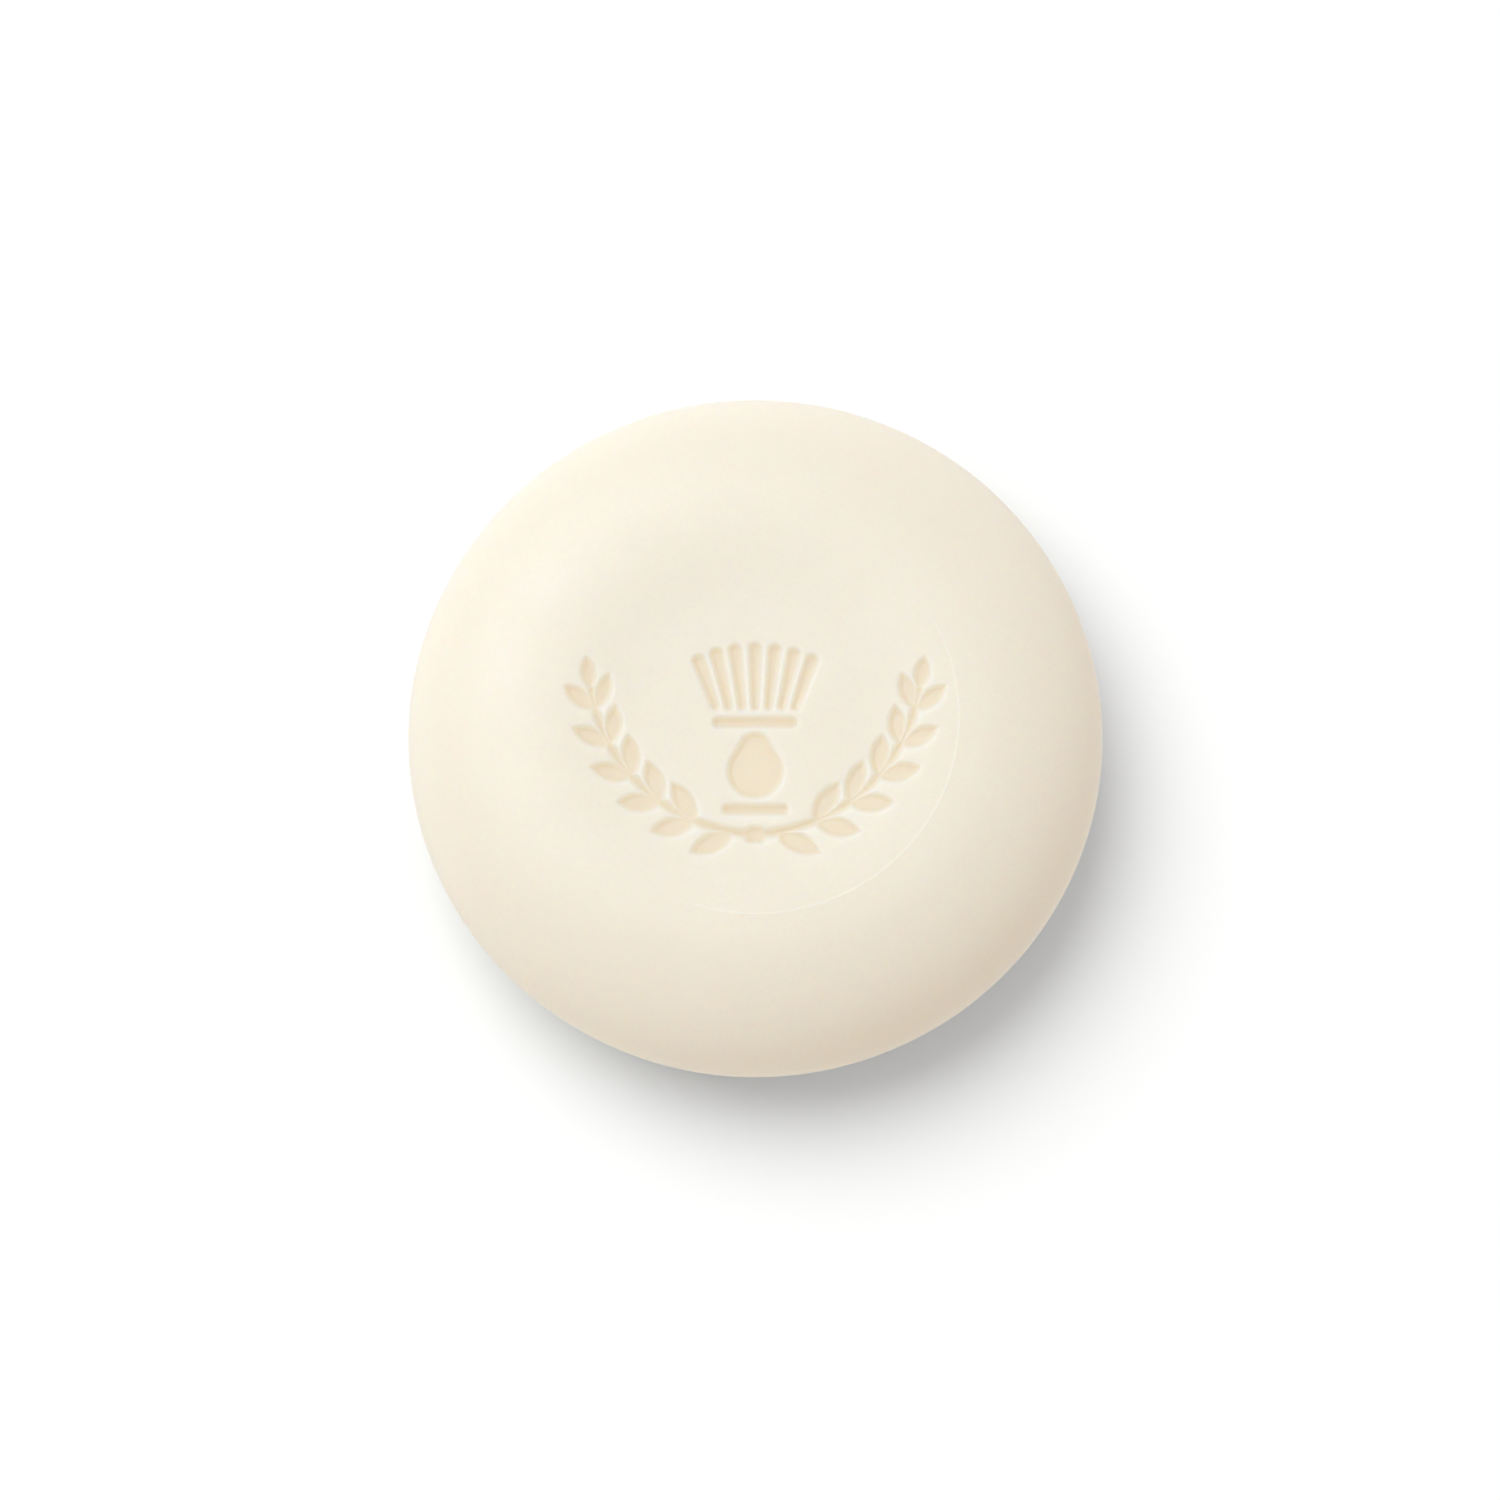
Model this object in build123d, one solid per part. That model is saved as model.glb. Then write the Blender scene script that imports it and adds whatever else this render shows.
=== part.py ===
from build123d import *
import os
from math import acos, atan2, cos, degrees, hypot, radians, sin, tan

# A puck of hard shaving soap, pressed in one piece between two dies. Millimetres, +Z up.
# The origin is on the surface that the puck stands on, under its centre. +Y is the top of the stamp.

# Outer wall: a domed upper half and a rounder lower half, which meet where the dies part.
DIAMETER = 75.0
EQUATOR_HEIGHT = 11.8
DOME_RISE = 9.7
DOME_WIDTH = 16.9
BELLY_WIDTH = 15.0
FLASH_WIDTH = 0.10
FLASH_HEIGHT = 0.5
FLASH_BITE = 0.02
FLASH_ROOT = 1.0

# Top face: a brim that falls gently to a soft crease, and a shallow dish inside the brim.
CREASE_RADIUS = 24.7
BRIM_SLOPE = 3.4
DISH_FLOOR_RADIUS = 12.0
DISH_RADIUS = 21.2
DISH_DEPTH = 0.35

# The hair-thin raised line that the edge of the die's centre plate leaves in the soap.
WITNESS_RADIUS = 21.7
WITNESS_WIDTH = 0.24
WITNESS_HEIGHT = 0.03

# Underside: a flat ring to stand on, round a plain shallow recess.
RECESS_RADIUS = 19.5
RECESS_FLOOR_RADIUS = 16.5
RECESS_DEPTH = 0.6

# Stamp: a shaving brush between two leafy sprigs, sunk into the dish with sloping walls.
STAMP_DEPTH = 0.28
STAMP_DRAFT = 30.0
SPRIG_CENTRE_X = -1.0
SPRIG_CENTRE_Y = 5.6
SPRIG_RADIUS = 18.7
SPRIG_START = -86.0
SPRIG_END = -9.0
STEM_WIDTH = 1.0
LEAF_PAIRS = 6
LEAF_START = 0.45
LEAF_LENGTH = 5.2
LEAF_WIDTH = 2.3
LEAF_TILT = 35.0
LEAF_SHRINK = 0.035
LEAF_POINT_SPREAD = 1.6
END_LEAF_LENGTH = 3.64
END_LEAF_WIDTH = 1.725
BERRY_Y = -13.1
BERRY_HALF_LENGTH = 0.3
BERRY_RADIUS = 0.95
FOOT_Y = -10.35
FOOT_HALF_LENGTH = 2.9
FOOT_RADIUS = 0.62
BELLY_Y = -6.2
BELLY_RADIUS = 3.0
NECK_Y = -3.6
NECK_RADIUS = 1.7
COLLAR_Y = -0.85
COLLAR_HALF_LENGTH = 3.9
COLLAR_RADIUS = 0.62
BRISTLES = 7
BRISTLE_FAN = 6.5
BRISTLE_SPACING = 1.42
BRISTLE_ROOT_Y = 0.95
BRISTLE_LENGTH = 6.2
BRISTLE_DROOP = 0.11
BRISTLE_ROOT_RADIUS = 0.5
BRISTLE_TIP_RADIUS = 0.76

# How far the stamp's cutters reach past the soap.
CUTTER_ABOVE = 0.3
CUTTER_BELOW = 0.1
LAYER_MARGIN = 1.0

BODY_RADIUS = DIAMETER / 2 - FLASH_WIDTH
DOME_CENTRE = BODY_RADIUS - DOME_WIDTH
BELLY_CENTRE = BODY_RADIUS - BELLY_WIDTH
CREASE_TURN = degrees(acos((CREASE_RADIUS - DOME_CENTRE) / DOME_WIDTH))
CREASE_HEIGHT = EQUATOR_HEIGHT + DOME_RISE * sin(radians(CREASE_TURN))
BRIM_HEIGHT = CREASE_HEIGHT + (CREASE_RADIUS - WITNESS_RADIUS) * tan(radians(BRIM_SLOPE))
DISH_HEIGHT = BRIM_HEIGHT - DISH_DEPTH
CUTTER_TOP = BRIM_HEIGHT + CUTTER_ABOVE
CUTTER_FLOOR = DISH_HEIGHT - STAMP_DEPTH - CUTTER_BELOW


def turned(draw_lines):
    """A solid turned about Z from a closed outline in the XZ plane."""
    with BuildPart() as solid:
        with BuildSketch(Plane.XZ):
            with BuildLine():
                draw_lines()
            make_face()
        revolve(axis=Axis.Z)
    return solid.part


def dish_lines(drop):
    """The dish from the axis to its rim, lowered by a drop."""
    low, high = DISH_HEIGHT - drop, BRIM_HEIGHT - drop
    Line((0, low), (DISH_FLOOR_RADIUS, low))
    Spline((DISH_FLOOR_RADIUS, low), (DISH_RADIUS, high), tangents=((1, 0), (1, 0)))


def puck_lines():
    """The puck's half section, from the middle of the dish outwards and back under it."""
    equator = EQUATOR_HEIGHT
    line_inside = (WITNESS_RADIUS - WITNESS_WIDTH / 2, BRIM_HEIGHT)
    line_crest = (WITNESS_RADIUS, BRIM_HEIGHT + WITNESS_HEIGHT)
    line_outside = (WITNESS_RADIUS + WITNESS_WIDTH / 2, BRIM_HEIGHT)
    dish_lines(0)
    Line((DISH_RADIUS, BRIM_HEIGHT), line_inside)
    ThreePointArc(line_inside, line_crest, line_outside)
    Line(line_outside, (CREASE_RADIUS, CREASE_HEIGHT))
    EllipticalCenterArc((DOME_CENTRE, equator), DOME_WIDTH, DOME_RISE, 0, arc_size=CREASE_TURN)
    EllipticalCenterArc((BELLY_CENTRE, equator), BELLY_WIDTH, equator, -90, arc_size=90)
    Line((BELLY_CENTRE, 0), (RECESS_RADIUS, 0))
    Spline((RECESS_RADIUS, 0), (RECESS_FLOOR_RADIUS, RECESS_DEPTH), tangents=((-1, 0), (-1, 0)))
    Polyline((RECESS_FLOOR_RADIUS, RECESS_DEPTH), (0, RECESS_DEPTH), (0, DISH_HEIGHT))


def flash_lines():
    """The low ridge where the dies part, with its root inside the puck."""
    low, high = EQUATOR_HEIGHT - FLASH_HEIGHT / 2, EQUATOR_HEIGHT + FLASH_HEIGHT / 2
    root, foot = BODY_RADIUS - FLASH_ROOT, BODY_RADIUS - FLASH_BITE
    crest = (DIAMETER / 2, EQUATOR_HEIGHT)
    Polyline((root, low), (foot, low), crest, (foot, high), (root, high), close=True)


def stamp_layer_lines():
    """Everything above a surface that lies one stamp depth under the dish."""
    low, high = DISH_HEIGHT - STAMP_DEPTH, BRIM_HEIGHT - STAMP_DEPTH
    outside, above = DISH_RADIUS + LAYER_MARGIN, CUTTER_TOP + LAYER_MARGIN
    dish_lines(STAMP_DEPTH)
    Polyline((DISH_RADIUS, high), (outside, high), (outside, above), (0, above), (0, low))


def wall_spread(height):
    """How far a sloping wall stands outside its outline at a height."""
    return (height - DISH_HEIGHT) * tan(radians(STAMP_DRAFT))


def polar(centre, radius, angle):
    return centre[0] + radius * cos(radians(angle)), centre[1] + radius * sin(radians(angle))


def bar_face(start, start_radius, end, end_radius, height):
    """A bar with round ends of two sizes."""
    first, last = start_radius + wall_spread(height), end_radius + wall_spread(height)
    run_x, run_y = end[0] - start[0], end[1] - start[1]
    along = degrees(atan2(run_y, run_x))
    side = degrees(acos((first - last) / hypot(run_x, run_y)))
    left_start, right_start = polar(start, first, along + side), polar(start, first, along - side)
    left_end, right_end = polar(end, last, along + side), polar(end, last, along - side)
    with BuildSketch(Plane.XY.offset(height)) as sketch:
        with BuildLine():
            Line(left_start, left_end)
            ThreePointArc(left_end, polar(end, last, along), right_end)
            Line(right_end, right_start)
            ThreePointArc(right_start, polar(start, first, along + 180), left_start)
        make_face()
    return sketch.sketch.faces()[0]


def leaf_face(root, turn, length, width, height):
    """A leaf with a point at both ends."""
    spread = wall_spread(height)
    middle = polar(root, length / 2, turn)
    reach = length / 2 + LEAF_POINT_SPREAD * spread
    tip, tail = polar(middle, reach, turn), polar(middle, -reach, turn)
    side = width / 2 + spread
    with BuildSketch(Plane.XY.offset(height)) as sketch:
        with BuildLine():
            ThreePointArc(tail, polar(middle, side, turn + 90), tip)
            ThreePointArc(tip, polar(middle, side, turn - 90), tail)
        make_face()
    return sketch.sketch.faces()[0]


def stem_face(height):
    """The sprig's curved stem, as one arc with round ends."""
    half = STEM_WIDTH / 2 + wall_spread(height)
    centre = (SPRIG_CENTRE_X, SPRIG_CENTRE_Y)
    turns = (SPRIG_START, (SPRIG_START + SPRIG_END) / 2, SPRIG_END)
    outer_start, outer_middle, outer_end = (polar(centre, SPRIG_RADIUS + half, turn) for turn in turns)
    inner_start, inner_middle, inner_end = (polar(centre, SPRIG_RADIUS - half, turn) for turn in turns)
    round_end = polar(polar(centre, SPRIG_RADIUS, SPRIG_END), half, SPRIG_END + 90)
    round_start = polar(polar(centre, SPRIG_RADIUS, SPRIG_START), half, SPRIG_START - 90)
    with BuildSketch(Plane.XY.offset(height)) as sketch:
        with BuildLine():
            ThreePointArc(outer_start, outer_middle, outer_end)
            ThreePointArc(outer_end, round_end, inner_end)
            ThreePointArc(inner_end, inner_middle, inner_start)
            ThreePointArc(inner_start, round_start, outer_start)
        make_face()
    return sketch.sketch.faces()[0]


def cutter(face_at):
    """A tool with sloping walls, wider at its top than at its floor."""
    return loft([face_at(CUTTER_FLOOR), face_at(CUTTER_TOP)], ruled=True)


def bar_cutter(start, start_radius, end, end_radius):
    return cutter(lambda height: bar_face(start, start_radius, end, end_radius, height))


def level_bar_cutter(y, half_length, radius):
    return bar_cutter((-half_length, y), radius, (half_length, y), radius)


def leaf_cutter(root, turn, length, width):
    return cutter(lambda height: leaf_face(root, turn, length, width, height))


def brush_cutters():
    """The brush: foot, handle, collar and a fan of bristles."""
    tools = [
        level_bar_cutter(FOOT_Y, FOOT_HALF_LENGTH, FOOT_RADIUS),
        bar_cutter((0, BELLY_Y), BELLY_RADIUS, (0, NECK_Y), NECK_RADIUS),
        level_bar_cutter(COLLAR_Y, COLLAR_HALF_LENGTH, COLLAR_RADIUS),
    ]
    for index in range(BRISTLES):
        offset = index - (BRISTLES - 1) / 2
        root = (offset * BRISTLE_SPACING, BRISTLE_ROOT_Y)
        tip = polar(root, BRISTLE_LENGTH - BRISTLE_DROOP * offset**2, 90 - offset * BRISTLE_FAN)
        tools.append(bar_cutter(root, BRISTLE_ROOT_RADIUS, tip, BRISTLE_TIP_RADIUS))
    return tools


def sprig_cutters():
    """The sprig on the right: stem, leaf pairs that shrink towards the tip, and one end leaf.

    The lowest pair has only its outer leaf, which leaves room for the brush's foot.
    """
    centre = (SPRIG_CENTRE_X, SPRIG_CENTRE_Y)
    tools = [cutter(stem_face)]
    step = (SPRIG_END - SPRIG_START) / LEAF_PAIRS
    for index in range(LEAF_PAIRS):
        turn = SPRIG_START + (index + LEAF_START) * step
        size = 1 - LEAF_SHRINK * index
        root = polar(centre, SPRIG_RADIUS, turn)
        for side in (-1, 1) if index else (-1,):
            tilted = turn + 90 + side * LEAF_TILT
            tools.append(leaf_cutter(root, tilted, LEAF_LENGTH * size, LEAF_WIDTH * size))
    end = polar(centre, SPRIG_RADIUS, SPRIG_END)
    tools.append(leaf_cutter(end, SPRIG_END + 90, END_LEAF_LENGTH, END_LEAF_WIDTH))
    return tools


def stamped_puck():
    body = turned(puck_lines) + turned(flash_lines)
    sprig = sprig_cutters()
    berry = level_bar_cutter(BERRY_Y, BERRY_HALF_LENGTH, BERRY_RADIUS)
    tools = brush_cutters() + sprig + [tool.mirror(Plane.YZ) for tool in sprig] + [berry]
    stamp = tools[0].fuse(*tools[1:])
    return body - (Part() + [stamp]).intersect(turned(stamp_layer_lines))


os.makedirs("parts", exist_ok=True)
soap_puck = stamped_puck()
print("volume", round(soap_puck.volume), "height", soap_puck.bounding_box().size.Z)
export_step(soap_puck, "parts/soap_puck.step")
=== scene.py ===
import math

import bpy
import numpy as np
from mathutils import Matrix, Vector
from mathutils.geometry import delaunay_2d_cdt


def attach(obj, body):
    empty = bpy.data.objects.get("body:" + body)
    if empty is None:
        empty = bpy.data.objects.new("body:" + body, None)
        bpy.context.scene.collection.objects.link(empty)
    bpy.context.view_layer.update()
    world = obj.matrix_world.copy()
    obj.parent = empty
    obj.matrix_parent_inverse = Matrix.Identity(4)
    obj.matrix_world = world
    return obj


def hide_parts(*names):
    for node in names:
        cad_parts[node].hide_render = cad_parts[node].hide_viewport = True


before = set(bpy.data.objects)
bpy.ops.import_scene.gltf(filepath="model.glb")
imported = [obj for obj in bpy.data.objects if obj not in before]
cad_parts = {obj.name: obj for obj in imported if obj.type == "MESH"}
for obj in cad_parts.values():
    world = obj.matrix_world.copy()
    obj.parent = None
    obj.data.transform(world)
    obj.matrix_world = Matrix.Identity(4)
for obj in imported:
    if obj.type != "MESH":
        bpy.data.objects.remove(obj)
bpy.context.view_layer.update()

# A hard shaving soap, pressed in one piece between two dies. Angles are in degrees. Lengths are in
# millimetres, and turn into metres where an object is made.
MM = 0.001

# ---------------------------------------------------------------- dimensions of the puck
# The same puck as the CAD model: an elliptical dome over a rounder belly, with a thin parting ridge between.
DIAMETER = 75.0
EQUATOR_HEIGHT = 11.8
DOME_RISE = 9.7
DOME_WIDTH = 16.9
BELLY_WIDTH = 15.0
FLASH_WIDTH = 0.10
FLASH_HEIGHT = 0.5
# How pointed the ridge's section is: 1 gives straight flanks, and more gives hollow ones.
FLASH_POINT = 1.5
# The top: a brim that falls to a crease at the dome, and a shallow dish with a hair-thin line round it.
CREASE_RADIUS = 24.7
BRIM_SLOPE = 3.4
DISH_FLOOR_RADIUS = 12.0
DISH_RADIUS = 21.2
DISH_DEPTH = 0.35
WITNESS_RADIUS = 21.7
WITNESS_WIDTH = 0.24
WITNESS_HEIGHT = 0.03
# The underside: a flat standing ring round a plain recess.
RECESS_RADIUS = 19.5
RECESS_FLOOR_RADIUS = 16.5
RECESS_DEPTH = 0.6

BODY_RADIUS = DIAMETER / 2 - FLASH_WIDTH
DOME_CENTRE = BODY_RADIUS - DOME_WIDTH
BELLY_CENTRE = BODY_RADIUS - BELLY_WIDTH
CREASE_TURN = math.acos((CREASE_RADIUS - DOME_CENTRE) / DOME_WIDTH)
CREASE_HEIGHT = EQUATOR_HEIGHT + DOME_RISE * math.sin(CREASE_TURN)
BRIM_HEIGHT = CREASE_HEIGHT + (CREASE_RADIUS - WITNESS_RADIUS) * math.tan(math.radians(BRIM_SLOPE))
DISH_HEIGHT = BRIM_HEIGHT - DISH_DEPTH

# ---------------------------------------------------------------- dimensions of the stamp
STAMP_DEPTH = 0.28
# Two mirrored sprigs: a stem on an arc, pairs of leaves that get smaller along it, and one leaf at its end.
SPRIG_CENTRE = (-1.0, 5.6)
SPRIG_RADIUS = 18.7
SPRIG_START = -86.0
SPRIG_END = -9.0
STEM_WIDTH = 1.0
LEAF_PAIRS = 6
LEAF_LENGTH = 5.2
LEAF_WIDTH = 2.3
LEAF_TILT = 35.0
LEAF_START = 0.45
LEAF_SHRINK = 0.035
END_LEAF_LENGTH = LEAF_LENGTH * 0.7
END_LEAF_WIDTH = LEAF_WIDTH * 0.75
# Level bars with round ends: height on the face, half the length between the ends' centres, and radius.
BERRY = (-13.1, 0.3, 0.95)
FOOT = (-10.35, 2.9, 0.62)
COLLAR = (-0.85, 3.9, 0.62)
# The brush's handle tapers between two rounds: height on the face, and radius.
HANDLE_BELLY = (-6.2, 3.0)
HANDLE_NECK = (-3.6, 1.7)
BRISTLES = 7
BRISTLE_FAN = 6.5
BRISTLE_SPACING = 1.42
BRISTLE_ROOT_Y = 0.95
BRISTLE_LENGTH = 6.2
BRISTLE_DROOP = 0.11
BRISTLE_ROOT_RADIUS = 0.5
BRISTLE_TIP_RADIUS = 0.76

# ---------------------------------------------------------------- softness that the CAD model leaves out
# The crease is blurred, out to where the dome gets steep.
CREASE_SOFTNESS = 0.9
SOFT_REACH = 3.0
SOFT_RADIUS = 27.0
SOFT_FADE = 3.0
# The stamp's walls, outside and inside its outline, and the fillets where its leaves and stem meet.
STAMP_EDGE_OUT = 0.32
STAMP_EDGE_IN = 0.54
STAMP_FILLET = 0.18
# The hair-thin line stands clear on one side of the face, where the key light glints on it; its paler colour
# there is a painted glint.
LINE_TURN = -42.0
LINE_CLEAR = 52.0
LINE_FADED = 84.0
LINE_LEAST = 0.08

# ---------------------------------------------------------------- spacing of the mesh
# The profile of the top is sampled in steps, from a little before the axis to past the rim.
PROFILE_STEP = 0.02
PROFILE_FIRST = -60
PROFILE_END = 2000
# The top face is a field of scattered points, and rings of SEGMENTS points make the rest.
FIELD_RADIUS = 23.4
SEGMENTS = 360
# Each grid of the field has a spacing, and the distances from the stamp's outline between which it is used.
FINE = 0.105
GRIDS = ((FINE, -0.62, 0.32), (FINE * 2, -1.0, 0.8), (FINE * 4, -2.0, 1.6), (FINE * 8, -9.0, 99.0))
GRID_REACH = 22.0
GRID_MARGIN = 0.45
ROW_RISE = math.sqrt(3) / 2
# Rings along the hair-thin line: distance from its crest, number of points, and turn in shares of a step.
LINE_RINGS = (
    (-0.40, 240, 0.0),
    (-0.24, 480, 0.0),
    (-0.12, 720, 0.0),
    (-0.07, 720, 0.5),
    (0.0, 720, 0.0),
    (0.07, 720, 0.5),
    (0.12, 720, 0.0),
    (0.24, 480, 0.0),
)
# Plain rings from there to the rim of the field.
BRIM_RING_GAP = 0.6
BRIM_RING_SPACING = 0.45
BRIM_RING_MARGIN = 0.3
BRIM_RING_COUNT = 240
# Rows of the wall and the underside.
SHOULDER_RADIUS = 29.0
SHOULDER_ROWS = 15
CURVE_ROWS = 26
FLASH_SHARES = (0.6, 0.3, 0.1, 0.0, -0.1, -0.3, -0.6)
RECESS_ROWS = 9
RECESS_FIRST_RING = 15.0
RECESS_RING_SPACING = 3.0
# What the triangulation is told: to fill only the rim, and when two points are one.
INSIDE_RIM = 1
SAME_POINT = 1e-7

# ---------------------------------------------------------------- soap
SOAP_LIGHT = (0.812, 0.751, 0.628)
SOAP_DEEP = (0.803, 0.739, 0.612)
# The stamp's hollow is painted darker and yellower, towards this colour: painted shade in the recess.
STAMP_PAINTED_SHADE = (0.80, 0.668, 0.452)
STAMP_SHADE_TINT = 0.6
# The hair-thin line is painted paler towards this colour, most on the side where the key light glints on it:
# a painted glint.
LINE_PAINTED_GLINT = (0.90, 0.87, 0.80)
LINE_GLINT_TINT = 0.3
FLECK_DARK = (0.985, 0.98, 0.97)
FLECK_LIGHT = (1.0, 1.0, 1.0)
SOAP_ROUGHNESS = (0.39, 0.48)
SOAP_IOR = 1.46
SSS_WEIGHT = 1.0
SSS_RADIUS = (1.0, 0.72, 0.45)
SSS_SCALE = 0.006
# Bump depths, in metres.
UNEVEN_DEPTH = 0.00006
TOOTH_DEPTH = 0.000004
# Noises: scale per metre, detail and roughness. Their values lie mostly within NOISE_RANGE.
CLOUD_NOISE = (55, 3, 0.55)
FLECK_NOISE = (2600, 2, 0.5)
GLOSS_NOISE = (240, 4, 0.6)
UNEVEN_NOISE = (90, 2, 0.5)
TOOTH_NOISE = (1800, 3, 0.6)
NOISE_RANGE = (0.3, 0.7)

# ---------------------------------------------------------------- floor, light and camera
FLOOR_TONE = (0.825, 0.893, 0.965)
# The share of that tone which the floor falls to in places.
FLOOR_DEEP = 0.997
FLOOR_NOISE = (40, 2, 0.5)
FLOOR_ROUGHNESS = 0.9
# The floor's reach, and the gap that keeps it off the standing ring, in metres.
FLOOR_REACH = 3.0
FLOOR_GAP = 0.00001

KEY_ZENITH = 31.0
KEY_TURN = 136.0
KEY_ANGLE = 50.0
KEY_STRENGTH = 2.09
KEY_ON_SOAP = (0.837, 0.981, 1.124)
KEY_ON_FLOOR = (1.054, 0.978, 0.876)
WORLD_STRENGTH = 0.587
WORLD_COLOUR = (1.083, 0.997, 0.951)
BACKDROP = (1.0, 1.0, 1.0)

CAMERA_ELEVATION = 76.8
LENS = 135.0
SENSOR_WIDTH = 36.0
# Nearest distance that the camera sees, in metres.
CLIP_START = 0.01
# How wide the view is at the puck, and how far right and up from its middle the puck sits.
FRAME_WIDTH = 162.1
OFFSET_RIGHT = 0.58
OFFSET_UP = 1.68


# ---------------------------------------------------------------- shape of the top
def smooth(t):
    """An even rise from 0 to 1 with a level start and end."""
    t = np.clip(t, 0.0, 1.0)
    return t * t * (3.0 - 2.0 * t)


def sharp_top(r):
    """Height of the top face and dome at a radius, before softening."""
    dish = DISH_HEIGHT + DISH_DEPTH * smooth((r - DISH_FLOOR_RADIUS) / (DISH_RADIUS - DISH_FLOOR_RADIUS))
    brim = BRIM_HEIGHT - np.maximum(r - WITNESS_RADIUS, 0.0) * math.tan(math.radians(BRIM_SLOPE))
    share = np.clip((r - DOME_CENTRE) / DOME_WIDTH, 0.0, 1.0)
    dome = EQUATOR_HEIGHT + DOME_RISE * np.sqrt(1.0 - share**2)
    return np.where(r < WITNESS_RADIUS, dish, np.where(r < CREASE_RADIUS, brim, dome))


def soft_profile():
    """Radii and heights of the top face and dome, blurred everywhere but on the steep outer wall."""
    radii = np.arange(PROFILE_FIRST, PROFILE_END) * PROFILE_STEP
    sharp = sharp_top(np.abs(np.minimum(radii, BODY_RADIUS)))
    reach = np.arange(-SOFT_REACH, SOFT_REACH + 1e-9, PROFILE_STEP)
    kernel = np.exp(-0.5 * (reach / CREASE_SOFTNESS) ** 2)
    kernel /= kernel.sum()
    soft = np.convolve(np.pad(sharp, len(kernel) // 2, mode="edge"), kernel, mode="valid")
    share = 1.0 - smooth((radii - SOFT_RADIUS) / SOFT_FADE)
    return radii, sharp * (1.0 - share) + soft * share


PROFILE_RADII, PROFILE_HEIGHTS = soft_profile()


def top_height(r):
    """Height of the top face and dome at a radius, without the stamp and the hair-thin line."""
    return np.interp(r, PROFILE_RADII, PROFILE_HEIGHTS)


def line_share(x, y):
    """How far the hair-thin line stands out at a point: 1 on its crest where it is clearest."""
    across = 1.0 - ((np.hypot(x, y) - WITNESS_RADIUS) / (WITNESS_WIDTH / 2)) ** 2
    away = np.abs((np.degrees(np.arctan2(y, x)) - LINE_TURN + 180.0) % 360.0 - 180.0)
    clear = smooth((LINE_FADED - away) / (LINE_FADED - LINE_CLEAR))
    return smooth(across) * (LINE_LEAST + (1.0 - LINE_LEAST) * clear)


# ---------------------------------------------------------------- the stamp as distances
def polar(centre, radius, angle):
    """The point at a distance and an angle from a centre."""
    turn = math.radians(angle)
    return centre[0] + radius * math.cos(turn), centre[1] + radius * math.sin(turn)


def bar_distance(x, y, start, start_radius, end, end_radius):
    """Signed distance to a bar with round ends of two sizes."""
    ax, ay = end[0] - start[0], end[1] - start[1]
    length = math.hypot(ax, ay)
    ax, ay = ax / length, ay / length
    along = (x - start[0]) * ax + (y - start[1]) * ay
    across = np.abs((y - start[1]) * ax - (x - start[0]) * ay)
    slope = (start_radius - end_radius) / length
    rise = math.sqrt(1.0 - slope * slope)
    foot = np.clip(along - across * slope / rise, 0.0, length)
    return np.hypot(along - foot, across) - start_radius - (end_radius - start_radius) * foot / length


def leaf_distance(x, y, root, turn, length, width):
    """Signed distance to a leaf between two arcs, which starts at its root and points along a turn."""
    middle = polar(root, length / 2, turn)
    c, s = math.cos(math.radians(turn)), math.sin(math.radians(turn))
    u = np.abs((x - middle[0]) * c + (y - middle[1]) * s)
    v = np.abs(-(x - middle[0]) * s + (y - middle[1]) * c)
    half, side = length / 2, width / 2
    back = (half * half - side * side) / (2 * side)
    radius = back + side
    # Beside the arcs the arc is nearest, and past the points the point is.
    past_point = (u - half) * back > v * half
    return np.where(past_point, np.hypot(u - half, v), np.hypot(u, v + back) - radius)


def stem_distance(x, y):
    """Signed distance to the right-hand sprig's stem."""
    centre = SPRIG_CENTRE
    angle = np.degrees(np.arctan2(y - centre[1], x - centre[0]))
    nearest = np.clip(angle, SPRIG_START, SPRIG_END)
    px = centre[0] + SPRIG_RADIUS * np.cos(np.radians(nearest))
    py = centre[1] + SPRIG_RADIUS * np.sin(np.radians(nearest))
    return np.hypot(x - px, y - py) - STEM_WIDTH / 2


def merge(a, b):
    """The nearer of two shapes, with a small fillet where they meet."""
    share = np.clip(0.5 + 0.5 * (b - a) / STAMP_FILLET, 0.0, 1.0)
    return b * (1.0 - share) + a * share - STAMP_FILLET * share * (1.0 - share)


def sprig_distance(x, y):
    """Signed distance to the right-hand sprig. Its first leaf has no partner on the inner side."""
    total = stem_distance(x, y)
    step = (SPRIG_END - SPRIG_START) / LEAF_PAIRS
    for index in range(LEAF_PAIRS):
        turn = SPRIG_START + (index + LEAF_START) * step
        size = 1 - LEAF_SHRINK * index
        root = polar(SPRIG_CENTRE, SPRIG_RADIUS, turn)
        for side in (-1, 1) if index else (-1,):
            points_to = turn + 90 + side * LEAF_TILT
            total = merge(total, leaf_distance(x, y, root, points_to, LEAF_LENGTH * size, LEAF_WIDTH * size))
    end = polar(SPRIG_CENTRE, SPRIG_RADIUS, SPRIG_END)
    return merge(total, leaf_distance(x, y, end, SPRIG_END + 90, END_LEAF_LENGTH, END_LEAF_WIDTH))


def bristle_distance(x, y, offset):
    """Signed distance to the bristle that stands offset places right of the middle one."""
    root = (offset * BRISTLE_SPACING, BRISTLE_ROOT_Y)
    tip = polar(root, BRISTLE_LENGTH - BRISTLE_DROOP * offset**2, 90 - offset * BRISTLE_FAN)
    return bar_distance(x, y, root, BRISTLE_ROOT_RADIUS, tip, BRISTLE_TIP_RADIUS)


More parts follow.
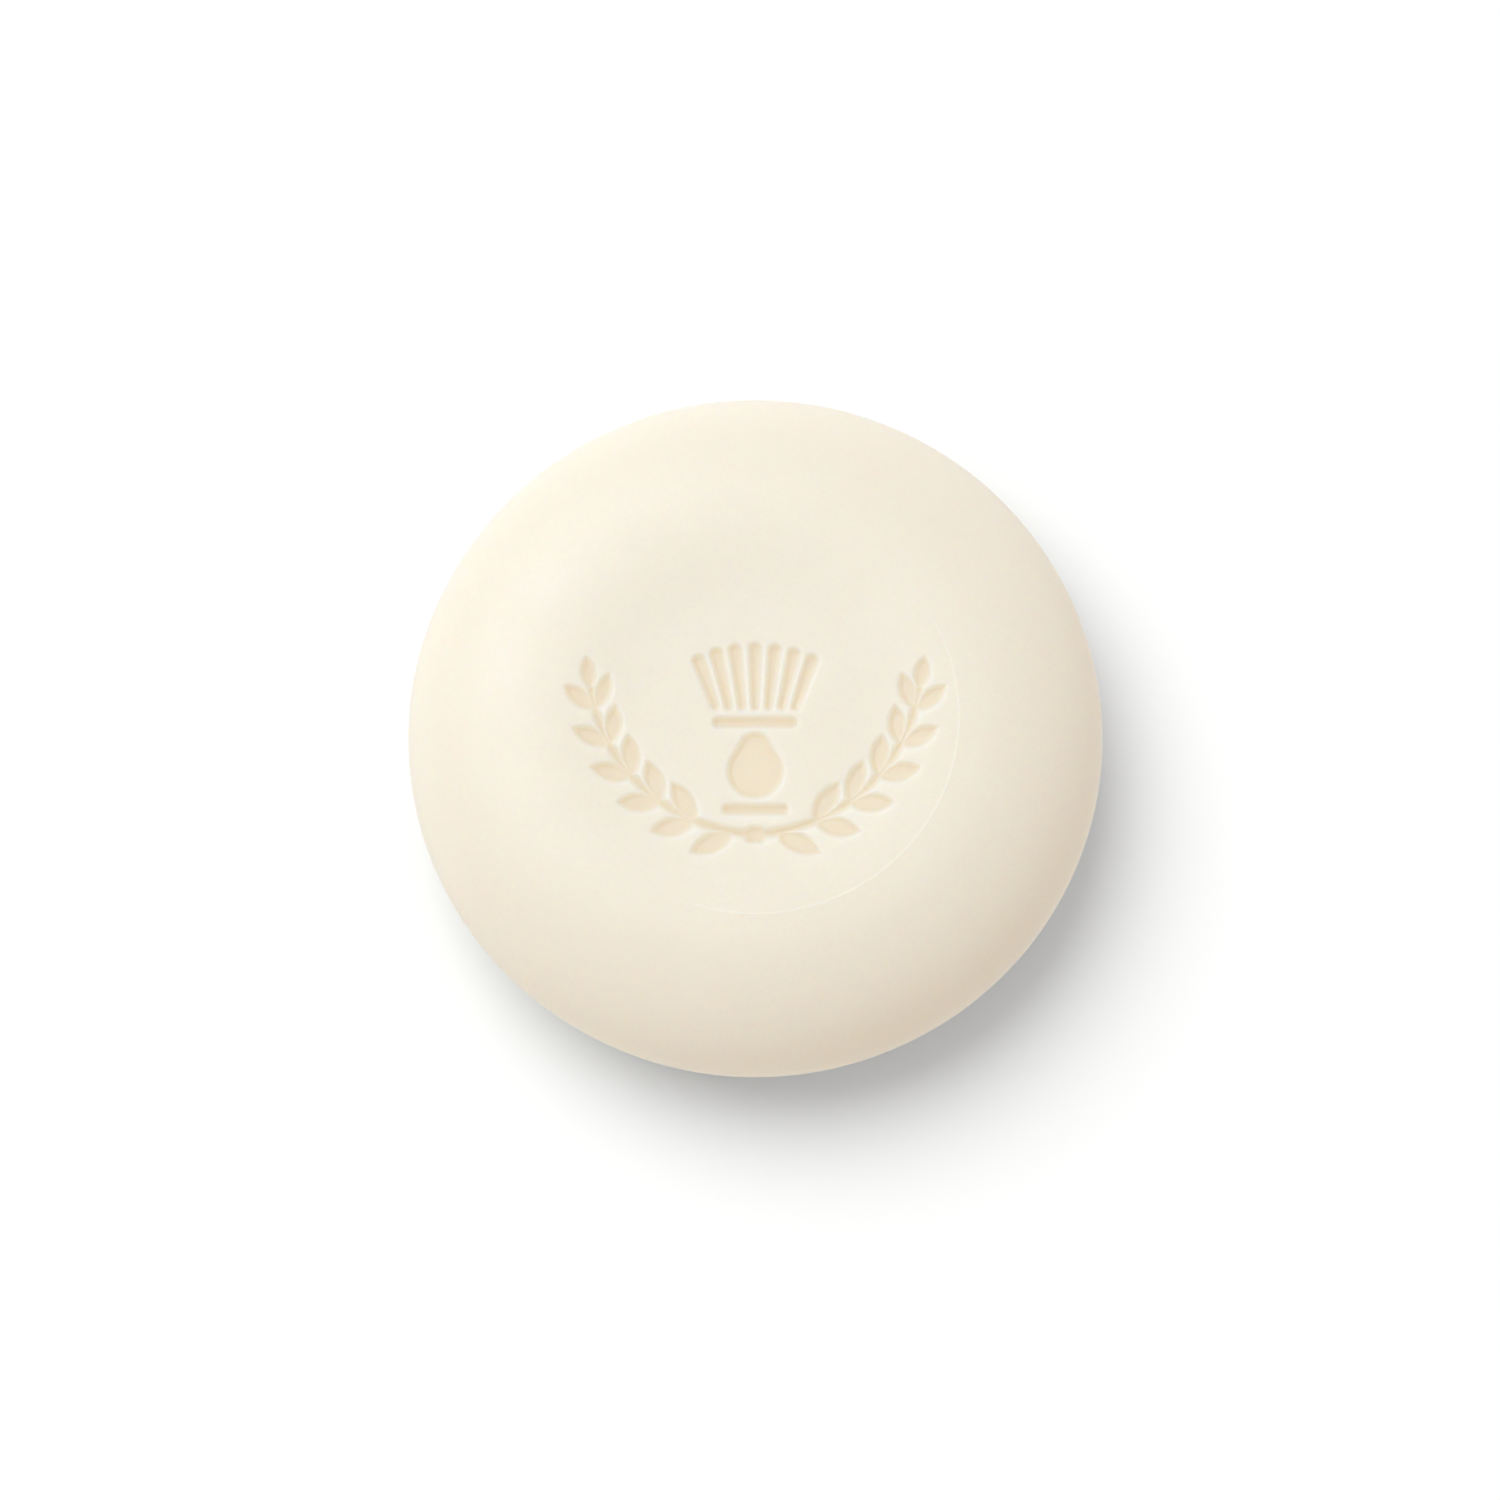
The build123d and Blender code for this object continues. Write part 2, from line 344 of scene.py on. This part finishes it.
def stamp_distance(x, y):
    """Signed distance to the whole stamp, a brush between two sprigs: negative inside it."""
    total = sprig_distance(np.abs(x), y)
    for height, half_length, radius in (BERRY, FOOT, COLLAR):
        left, right = (-half_length, height), (half_length, height)
        total = merge(total, bar_distance(x, y, left, radius, right, radius))
    belly_y, belly_radius = HANDLE_BELLY
    neck_y, neck_radius = HANDLE_NECK
    total = np.minimum(total, bar_distance(x, y, (0, belly_y), belly_radius, (0, neck_y), neck_radius))
    for index in range(BRISTLES):
        total = np.minimum(total, bristle_distance(x, y, index - (BRISTLES - 1) / 2))
    return total


def stamp_share(distance):
    """How much of the stamp's depth is reached at a distance from its outline."""
    return smooth((STAMP_EDGE_OUT - distance) / (STAMP_EDGE_OUT + STAMP_EDGE_IN))


# ---------------------------------------------------------------- the puck's mesh
def hex_grid(spacing, reach):
    """Points in staggered rows over a square field."""
    rows = int(reach / (spacing * ROW_RISE)) + 1
    columns = int(reach / spacing) + 1
    i, j = np.meshgrid(np.arange(-columns, columns + 1), np.arange(-rows, rows + 1))
    x = (i + 0.5 * (j % 2)) * spacing
    y = j * spacing * ROW_RISE
    return x.ravel(), y.ravel()


def ring(radius, count, turn=0.0):
    """Points round the axis, turned by a share of a step."""
    angle = (np.arange(count) + turn) * 2 * math.pi / count
    return radius * np.cos(angle), radius * np.sin(angle)


def field_points():
    """Points of the top face: close together on the stamp's walls and wide apart elsewhere."""
    parts = []
    finer = None
    for spacing, low, high in GRIDS:
        x, y = hex_grid(spacing, GRID_REACH)
        distance = stamp_distance(x, y)
        keep = (distance > low) & (distance < high) & (np.hypot(x, y) < WITNESS_RADIUS - GRID_MARGIN)
        if finer:
            keep &= (distance < finer[0]) | (distance > finer[1])
        parts.append((x[keep], y[keep]))
        finer = (low, high)
    for offset, count, turn in LINE_RINGS:
        parts.append(ring(WITNESS_RADIUS + offset, count, turn))
    first, last = WITNESS_RADIUS + BRIM_RING_GAP, FIELD_RADIUS - BRIM_RING_MARGIN
    for radius in np.arange(first, last, BRIM_RING_SPACING):
        parts.append(ring(radius, BRIM_RING_COUNT))
    return np.concatenate([x for x, y in parts]), np.concatenate([y for x, y in parts])


def wall_rows():
    """The outer wall and underside as (radius, height) rows, from the field's rim to the middle below."""
    rows = []
    for r in np.linspace(FIELD_RADIUS, SHOULDER_RADIUS, SHOULDER_ROWS):
        rows.append((r, float(top_height(r))))
    half_flash = FLASH_HEIGHT / 2
    start = math.acos((SHOULDER_RADIUS - DOME_CENTRE) / DOME_WIDTH)
    end = math.asin(half_flash / DOME_RISE)
    for turn in np.linspace(start, end, CURVE_ROWS)[1:]:
        rows.append((DOME_CENTRE + DOME_WIDTH * math.cos(turn), EQUATOR_HEIGHT + DOME_RISE * math.sin(turn)))
    for share in FLASH_SHARES:
        width = FLASH_WIDTH * (1 - abs(share)) ** FLASH_POINT
        rows.append((BODY_RADIUS + width, EQUATOR_HEIGHT + half_flash * share))
    start = math.asin(half_flash / EQUATOR_HEIGHT)
    for turn in np.linspace(start, math.pi / 2, CURVE_ROWS):
        height = EQUATOR_HEIGHT - EQUATOR_HEIGHT * math.sin(turn)
        rows.append((BELLY_CENTRE + BELLY_WIDTH * math.cos(turn), height))
    rows.append(((BELLY_CENTRE + RECESS_RADIUS) / 2, 0.0))
    for share in np.linspace(0, 1, RECESS_ROWS):
        r = RECESS_RADIUS + (RECESS_FLOOR_RADIUS - RECESS_RADIUS) * share
        rows.append((r, float(RECESS_DEPTH * smooth(share))))
    for r in np.arange(RECESS_FIRST_RING, 0.0, -RECESS_RING_SPACING):
        rows.append((r, RECESS_DEPTH))
    return rows


def top_triangles():
    """The top face seen from above: its points, its triangles, and which points lie on its rim, in order."""
    rim_x, rim_y = ring(FIELD_RADIUS, SEGMENTS)
    x, y = field_points()
    xs, ys = np.concatenate([rim_x, x]), np.concatenate([rim_y, y])
    points = [Vector(point) for point in zip(xs.tolist(), ys.tolist())]
    rim_edges = [(i, (i + 1) % SEGMENTS) for i in range(SEGMENTS)]
    found, _, triangles, sources, _, _ = delaunay_2d_cdt(points, rim_edges, [], INSIDE_RIM, SAME_POINT)
    rim = [0] * SEGMENTS
    for index, origins in enumerate(sources):
        for origin in origins:
            if origin < SEGMENTS:
                rim[origin] = index
    return np.array([tuple(point) for point in found]), [tuple(corners) for corners in triangles], rim


def build_puck():
    """The whole puck as one closed mesh, with how far the stamp and the line reach stored at each point."""
    flat, faces, rim = top_triangles()
    x, y = flat[:, 0], flat[:, 1]
    stamp, line = stamp_share(stamp_distance(x, y)), line_share(x, y)
    height = top_height(np.hypot(x, y)) - STAMP_DEPTH * stamp + WITNESS_HEIGHT * line
    vertices = [np.column_stack([flat, height])]

    count = len(flat)
    previous = rim
    for r, z in wall_rows()[1:]:
        vertices.append(np.column_stack([*ring(r, SEGMENTS), np.full(SEGMENTS, z)]))
        current = list(range(count, count + SEGMENTS))
        count += SEGMENTS
        for i in range(SEGMENTS):
            j = (i + 1) % SEGMENTS
            faces.append((previous[i], current[i], current[j], previous[j]))
        previous = current
    vertices.append(np.array([[0.0, 0.0, RECESS_DEPTH]]))
    faces += [(previous[i], count, previous[(i + 1) % SEGMENTS]) for i in range(SEGMENTS)]
    vertices = np.concatenate(vertices)

    mesh = bpy.data.meshes.new("soap_body")
    mesh.from_pydata((vertices * MM).tolist(), [], faces)
    mesh.validate()
    for name, values in (("stamp", stamp), ("line", line)):
        padded = np.zeros(len(vertices), dtype=np.float32)
        padded[: len(values)] = values
        mesh.attributes.new(name, "FLOAT", "POINT").data.foreach_set("value", padded)
    mesh.shade_smooth()
    made = bpy.data.objects.new("soap_body", mesh)
    bpy.context.scene.collection.objects.link(made)
    return made


# ---------------------------------------------------------------- materials
def feed(tree, value, socket):
    """Link an output to a socket, or set the socket to a plain number or colour."""
    if isinstance(value, bpy.types.NodeSocket):
        tree.links.new(value, socket)
    elif isinstance(value, tuple):
        socket.default_value = (*value, 1)
    else:
        socket.default_value = value


def add_noise(tree, place, settings):
    """Noise at a place, from its scale, detail and roughness."""
    made = tree.nodes.new("ShaderNodeTexNoise")
    for name, value in zip(("Scale", "Detail", "Roughness"), settings):
        made.inputs[name].default_value = value
    tree.links.new(place, made.inputs["Vector"])
    return made.outputs["Fac"]


def add_range(tree, value, low, high):
    """A noise's usual range turned into the range from low to high."""
    made = tree.nodes.new("ShaderNodeMapRange")
    made.inputs["From Min"].default_value, made.inputs["From Max"].default_value = NOISE_RANGE
    made.inputs["To Min"].default_value = low
    made.inputs["To Max"].default_value = high
    tree.links.new(value, made.inputs["Value"])
    return made.outputs["Result"]


def add_mix(tree, factor, first, second, blend="MIX"):
    """Two colours mixed by a factor."""
    made = tree.nodes.new("ShaderNodeMix")
    made.data_type = "RGBA"
    made.blend_type = blend
    feed(tree, factor, made.inputs["Factor"])
    # A mix node keeps its two colours in its seventh and eighth sockets.
    feed(tree, first, made.inputs[6])
    feed(tree, second, made.inputs[7])
    return made.outputs[2]


def add_mark(tree, name, most):
    """One of the values stored on the mesh, times the most that it may tint."""
    mark = tree.nodes.new("ShaderNodeAttribute")
    mark.attribute_name = name
    tint = tree.nodes.new("ShaderNodeMath")
    tint.operation = "MULTIPLY"
    tint.inputs[1].default_value = most
    tree.links.new(mark.outputs["Fac"], tint.inputs[0])
    return tint.outputs[0]


def add_bump(tree, height, depth, below=None):
    """A bump of a depth in metres, over another one if there is one below."""
    made = tree.nodes.new("ShaderNodeBump")
    made.inputs["Strength"].default_value = 1.0
    made.inputs["Distance"].default_value = depth
    tree.links.new(height, made.inputs["Height"])
    if below:
        tree.links.new(below, made.inputs["Normal"])
    return made.outputs["Normal"]


def soap_material():
    """Cream soap: milled and pressed, slightly see-through, with a satin surface."""
    material = bpy.data.materials.new("soap")
    material.use_nodes = True
    tree = material.node_tree
    shader = tree.nodes["Principled BSDF"]
    place = tree.nodes.new("ShaderNodeTexCoord").outputs["Object"]

    # Broad clouding from the milling, then fine grain, then painted shade in the stamp's hollow (darker and
    # yellower) and a painted glint along the hair-thin line (paler).
    cloud = add_range(tree, add_noise(tree, place, CLOUD_NOISE), 0, 1)
    colour = add_mix(tree, cloud, SOAP_LIGHT, SOAP_DEEP)
    grain = add_range(tree, add_noise(tree, place, FLECK_NOISE), 0, 1)
    colour = add_mix(tree, 1.0, colour, add_mix(tree, grain, FLECK_DARK, FLECK_LIGHT), "MULTIPLY")
    # Painted shade in the stamp's hollow, and a painted glint on the hair-thin line.
    for name, most, tone in (("stamp", STAMP_SHADE_TINT, STAMP_PAINTED_SHADE), ("line", LINE_GLINT_TINT, LINE_PAINTED_GLINT)):
        colour = add_mix(tree, add_mark(tree, name, most), colour, tone)
    tree.links.new(colour, shader.inputs["Base Color"])

    gloss = add_range(tree, add_noise(tree, place, GLOSS_NOISE), *SOAP_ROUGHNESS)
    tree.links.new(gloss, shader.inputs["Roughness"])
    shader.inputs["IOR"].default_value = SOAP_IOR
    shader.inputs["Subsurface Weight"].default_value = SSS_WEIGHT
    shader.inputs["Subsurface Radius"].default_value = SSS_RADIUS
    shader.inputs["Subsurface Scale"].default_value = SSS_SCALE

    # The faint unevenness that a die leaves, and a very fine tooth.
    uneven = add_bump(tree, add_noise(tree, place, UNEVEN_NOISE), UNEVEN_DEPTH)
    tooth = add_bump(tree, add_noise(tree, place, TOOTH_NOISE), TOOTH_DEPTH, uneven)
    tree.links.new(tooth, shader.inputs["Normal"])
    return material


def floor_material():
    """A pale matt studio floor with a very faint unevenness."""
    material = bpy.data.materials.new("studio_floor")
    material.use_nodes = True
    tree = material.node_tree
    shader = tree.nodes["Principled BSDF"]
    place = tree.nodes.new("ShaderNodeTexCoord").outputs["Object"]
    deep = tuple(FLOOR_DEEP * part for part in FLOOR_TONE)
    tone = add_mix(tree, add_noise(tree, place, FLOOR_NOISE), deep, FLOOR_TONE)
    tree.links.new(tone, shader.inputs["Base Color"])
    shader.inputs["Roughness"].default_value = FLOOR_ROUGHNESS
    shader.inputs["Specular IOR Level"].default_value = 0.0
    return material


# ---------------------------------------------------------------- studio
def build_floor():
    """A flat square under the puck."""
    mesh = bpy.data.meshes.new("floor")
    turns = ((-1, -1), (1, -1), (1, 1), (-1, 1))
    corners = [(x * FLOOR_REACH, y * FLOOR_REACH, -FLOOR_GAP) for x, y in turns]
    mesh.from_pydata(corners, [], [(0, 1, 2, 3)])
    mesh.materials.append(floor_material())
    made = bpy.data.objects.new("floor", mesh)
    bpy.context.scene.collection.objects.link(made)
    return made


def add_key(name, lit, colour):
    """One broad soft light from behind the left shoulder of the puck, which lights only one object."""
    zenith, turn = math.radians(KEY_ZENITH), math.radians(KEY_TURN)
    flat = math.sin(zenith)
    from_key = Vector((flat * math.cos(turn), flat * math.sin(turn), math.cos(zenith)))
    data = bpy.data.lights.new("key_" + name, "SUN")
    data.energy = KEY_STRENGTH
    data.color = colour
    data.angle = math.radians(KEY_ANGLE)
    key = bpy.data.objects.new("key_" + name, data)
    key.location = from_key
    key.rotation_euler = from_key.to_track_quat("Z", "Y").to_euler()
    bpy.context.scene.collection.objects.link(key)
    receivers = bpy.data.collections.new("lit_by_key_" + name)
    receivers.objects.link(lit)
    key.light_linking.receiver_collection = receivers


def build_world():
    """An even surround that lights the scene. Seen directly, past the floor's edge, it is plain white."""
    world = bpy.data.worlds.new("studio")
    world.use_nodes = True
    sky = world.node_tree
    sky.nodes.clear()
    glow = sky.nodes.new("ShaderNodeBackground")
    glow.inputs["Color"].default_value = (*WORLD_COLOUR, 1)
    glow.inputs["Strength"].default_value = WORLD_STRENGTH
    backdrop = sky.nodes.new("ShaderNodeBackground")
    backdrop.inputs["Color"].default_value = (*BACKDROP, 1)
    seen = sky.nodes.new("ShaderNodeLightPath")
    choice = sky.nodes.new("ShaderNodeMixShader")
    output = sky.nodes.new("ShaderNodeOutputWorld")
    sky.links.new(seen.outputs["Is Camera Ray"], choice.inputs["Fac"])
    sky.links.new(glow.outputs["Background"], choice.inputs[1])
    sky.links.new(backdrop.outputs["Background"], choice.inputs[2])
    sky.links.new(choice.outputs["Shader"], output.inputs["Surface"])
    return world


def add_camera():
    """A long lens, high over the front of the puck."""
    data = bpy.data.cameras.new("camera")
    data.lens = LENS
    data.sensor_width = SENSOR_WIDTH
    data.clip_start = CLIP_START
    made = bpy.data.objects.new("camera", data)
    elevation = math.radians(CAMERA_ELEVATION)
    towards = Vector((0, -math.cos(elevation), math.sin(elevation)))
    up = Vector((0, math.sin(elevation), math.cos(elevation)))
    aim = Vector((-OFFSET_RIGHT, 0, EQUATOR_HEIGHT)) - up * OFFSET_UP
    made.location = (aim + towards * FRAME_WIDTH * LENS / SENSOR_WIDTH) * MM
    made.rotation_euler = towards.to_track_quat("Z", "Y").to_euler()
    bpy.context.scene.collection.objects.link(made)
    return made


# ---------------------------------------------------------------- the scene
puck = build_puck()
puck.data.materials.append(soap_material())
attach(puck, "root")
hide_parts("soap_puck")

floor = build_floor()

# The light is balanced apart for the puck and for the floor, so that the floor's shadow is a neutral grey.
add_key("soap", puck, KEY_ON_SOAP)
add_key("floor", floor, KEY_ON_FLOOR)
bpy.context.scene.world = build_world()
bpy.context.scene.camera = add_camera()
bpy.context.scene.view_settings.view_transform = "Standard"
